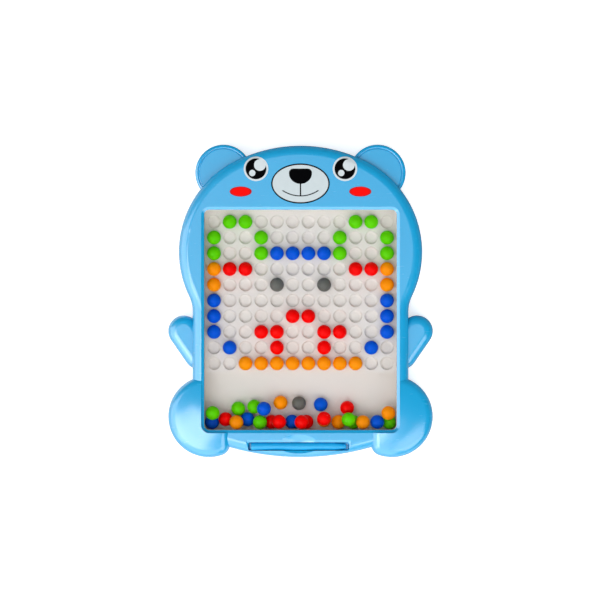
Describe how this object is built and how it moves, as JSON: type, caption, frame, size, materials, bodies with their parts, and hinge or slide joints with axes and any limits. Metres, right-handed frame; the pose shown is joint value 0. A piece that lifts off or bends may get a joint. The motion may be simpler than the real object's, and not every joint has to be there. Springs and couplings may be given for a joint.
{
  "type": "magnetic bead drawing board",
  "caption": "Bear-shaped magnetic drawing board: beads seat in a cupped tray under a clear window and are lifted through it with a magnetic pen.",
  "frame": {"origin": "middle of the back face, under the middle of the outline, where the board lies on a table", "axes": "+X to the right of the face as it is looked at, +Y towards the head, +Z out of the face"},
  "size_m": [0.2256, 0.2662, 0.0361],
  "materials": {
    "blue_shell": "gloss moulded sky-blue plastic",
    "blue_pen": "gloss moulded sky-blue plastic",
    "white_tray": "satin moulded white plastic",
    "clear_window": "clear polished plastic sheet",
    "screw_steel": "zinc-plated steel",
    "magnet": "nickel-plated magnet",
    "black_ink": "gloss black pad print",
    "white_ink": "gloss white pad print",
    "grey_ink": "gloss light grey pad print",
    "red_ink": "gloss red pad print",
    "bead_green": "satin-gloss green plastic",
    "bead_blue": "satin-gloss blue plastic",
    "bead_red": "satin-gloss red plastic",
    "bead_orange": "satin-gloss orange plastic",
    "bead_grey": "satin-gloss dark grey plastic"
  },
  "bodies": {
    "case": {"front_shell": "blue_shell", "back_shell": "blue_shell", "case_screws": "screw_steel", "bead_tray": "white_tray", "window": "clear_window", "black_print": "black_ink", "white_print": "white_ink", "grey_print": "grey_ink", "red_print": "red_ink"},
    "pen": {"pen_barrel": "blue_pen", "pen_tip": "blue_pen", "pen_magnet": "magnet", "pen_end_plug": "blue_pen"},
    "drawn_green": {"drawn_beads_green": "bead_green"},
    "drawn_blue": {"drawn_beads_blue": "bead_blue"},
    "drawn_red": {"drawn_beads_red": "bead_red"},
    "drawn_orange": {"drawn_beads_orange": "bead_orange"},
    "drawn_grey": {"drawn_beads_grey": "bead_grey"},
    "bead_01": {"loose_bead_01_blue": "bead_blue"},
    "bead_02": {"loose_bead_02_red": "bead_red"},
    "bead_03": {"loose_bead_03_blue": "bead_blue"},
    "bead_04": {"loose_bead_04_red": "bead_red"},
    "bead_05": {"loose_bead_05_blue": "bead_blue"},
    "bead_06": {"loose_bead_06_red": "bead_red"},
    "bead_07": {"loose_bead_07_orange": "bead_orange"},
    "bead_08": {"loose_bead_08_orange": "bead_orange"},
    "bead_09": {"loose_bead_09_green": "bead_green"},
    "bead_10": {"loose_bead_10_green": "bead_green"},
    "bead_11": {"loose_bead_11_green": "bead_green"},
    "bead_12": {"loose_bead_12_green": "bead_green"},
    "bead_13": {"loose_bead_13_orange": "bead_orange"},
    "bead_14": {"loose_bead_14_grey": "bead_grey"},
    "bead_15": {"loose_bead_15_blue": "bead_blue"},
    "bead_16": {"loose_bead_16_red": "bead_red"},
    "bead_17": {"loose_bead_17_green": "bead_green"},
    "bead_18": {"loose_bead_18_orange": "bead_orange"},
    "bead_19": {"loose_bead_19_green": "bead_green"},
    "bead_20": {"loose_bead_20_red": "bead_red"},
    "bead_21": {"loose_bead_21_red": "bead_red"},
    "bead_22": {"loose_bead_22_red": "bead_red"},
    "bead_23": {"loose_bead_23_green": "bead_green"},
    "bead_24": {"loose_bead_24_orange": "bead_orange"},
    "bead_25": {"loose_bead_25_blue": "bead_blue"},
    "bead_26": {"loose_bead_26_orange": "bead_orange"},
    "bead_27": {"loose_bead_27_blue": "bead_blue"}
  },
  "joints": [
    {"name": "pen_lift", "type": "slide", "parent": "case", "child": "pen", "axis": [0, 0, 1], "range_m": [0, 0.03]},
    {"name": "drawn_green_lift", "type": "slide", "parent": "case", "child": "drawn_green", "axis": [0, 0, 1], "range_m": [0, 0.0043]},
    {"name": "drawn_blue_lift", "type": "slide", "parent": "case", "child": "drawn_blue", "axis": [0, 0, 1], "range_m": [0, 0.0043]},
    {"name": "drawn_red_lift", "type": "slide", "parent": "case", "child": "drawn_red", "axis": [0, 0, 1], "range_m": [0, 0.0043]},
    {"name": "drawn_orange_lift", "type": "slide", "parent": "case", "child": "drawn_orange", "axis": [0, 0, 1], "range_m": [0, 0.0043]},
    {"name": "drawn_grey_lift", "type": "slide", "parent": "case", "child": "drawn_grey", "axis": [0, 0, 1], "range_m": [0, 0.0043]},
    {"name": "bead_01_roll", "type": "slide", "parent": "case", "child": "bead_01", "axis": [0, 1, 0], "range_m": [0, 0.000432]},
    {"name": "bead_02_roll", "type": "slide", "parent": "case", "child": "bead_02", "axis": [0, 1, 0], "range_m": [0, 0.00385]},
    {"name": "bead_03_roll", "type": "slide", "parent": "case", "child": "bead_03", "axis": [0, -1, 0], "range_m": [0, 0.00235]},
    {"name": "bead_04_roll", "type": "slide", "parent": "case", "child": "bead_04", "axis": [0, 1, 0], "range_m": [0, 0.00335]},
    {"name": "bead_05_roll", "type": "slide", "parent": "case", "child": "bead_05", "axis": [0, 1, 0], "range_m": [0, 0.00515]},
    {"name": "bead_06_roll", "type": "slide", "parent": "case", "child": "bead_06", "axis": [0, 1, 0], "range_m": [0, 0.00555]},
    {"name": "bead_07_roll", "type": "slide", "parent": "case", "child": "bead_07", "axis": [-1, 0, 0], "range_m": [0, 0.003]},
    {"name": "bead_08_lift", "type": "slide", "parent": "case", "child": "bead_08", "axis": [0, 0, 1], "range_m": [0, 0.00305]},
    {"name": "bead_09_roll", "type": "slide", "parent": "case", "child": "bead_09", "axis": [1, 0, 0], "range_m": [0, 0.00301]},
    {"name": "bead_10_roll", "type": "slide", "parent": "case", "child": "bead_10", "axis": [0, 1, 0], "range_m": [0, 0.00282]},
    {"name": "bead_11_roll", "type": "slide", "parent": "case", "child": "bead_11", "axis": [0, 1, 0], "range_m": [0, 0.02455]},
    {"name": "bead_12_roll", "type": "slide", "parent": "case", "child": "bead_12", "axis": [0, 1, 0], "range_m": [0, 0.02285]},
    {"name": "bead_13_roll", "type": "slide", "parent": "case", "child": "bead_13", "axis": [0, 1, 0], "range_m": [0, 0.01935]},
    {"name": "bead_14_roll", "type": "slide", "parent": "case", "child": "bead_14", "axis": [0, 1, 0], "range_m": [0, 0.01995]},
    {"name": "bead_15_roll", "type": "slide", "parent": "case", "child": "bead_15", "axis": [0, 1, 0], "range_m": [0, 0.02105]},
    {"name": "bead_16_roll", "type": "slide", "parent": "case", "child": "bead_16", "axis": [0, 1, 0], "range_m": [0, 0.02395]},
    {"name": "bead_17_roll", "type": "slide", "parent": "case", "child": "bead_17", "axis": [0, 1, 0], "range_m": [0, 0.02815]},
    {"name": "bead_18_roll", "type": "slide", "parent": "case", "child": "bead_18", "axis": [1, 0, 0], "range_m": [0, 0.0023]},
    {"name": "bead_19_lift", "type": "slide", "parent": "case", "child": "bead_19", "axis": [0, 0, 1], "range_m": [0, 0.00125]},
    {"name": "bead_20_roll", "type": "slide", "parent": "case", "child": "bead_20", "axis": [0, 1, 0], "range_m": [0, 0.0037]},
    {"name": "bead_21_roll", "type": "slide", "parent": "case", "child": "bead_21", "axis": [0, 1, 0], "range_m": [0, 0.01275]},
    {"name": "bead_22_roll", "type": "slide", "parent": "case", "child": "bead_22", "axis": [0, 1, 0], "range_m": [0, 0.03]},
    {"name": "bead_23_roll", "type": "slide", "parent": "case", "child": "bead_23", "axis": [0, 1, 0], "range_m": [0, 0.00535]},
    {"name": "bead_24_roll", "type": "slide", "parent": "case", "child": "bead_24", "axis": [0, 1, 0], "range_m": [0, 0.03]},
    {"name": "bead_25_lift", "type": "slide", "parent": "case", "child": "bead_25", "axis": [0, 0, 1], "range_m": [0, 0.0055]},
    {"name": "bead_26_roll", "type": "slide", "parent": "case", "child": "bead_26", "axis": [0, 1, 0], "range_m": [0, 0.02815]},
    {"name": "bead_27_roll", "type": "slide", "parent": "case", "child": "bead_27", "axis": [1, 0, 0], "range_m": [0, 0.0034]}
  ],
  "couplings": [
    {"joint": "bead_01_roll", "follows": "bead_17_roll", "ratio": 0.015},
    {"joint": "bead_09_roll", "follows": "bead_24_roll", "ratio": 0.1},
    {"joint": "bead_10_roll", "follows": "bead_26_roll", "ratio": 0.1}
  ]
}
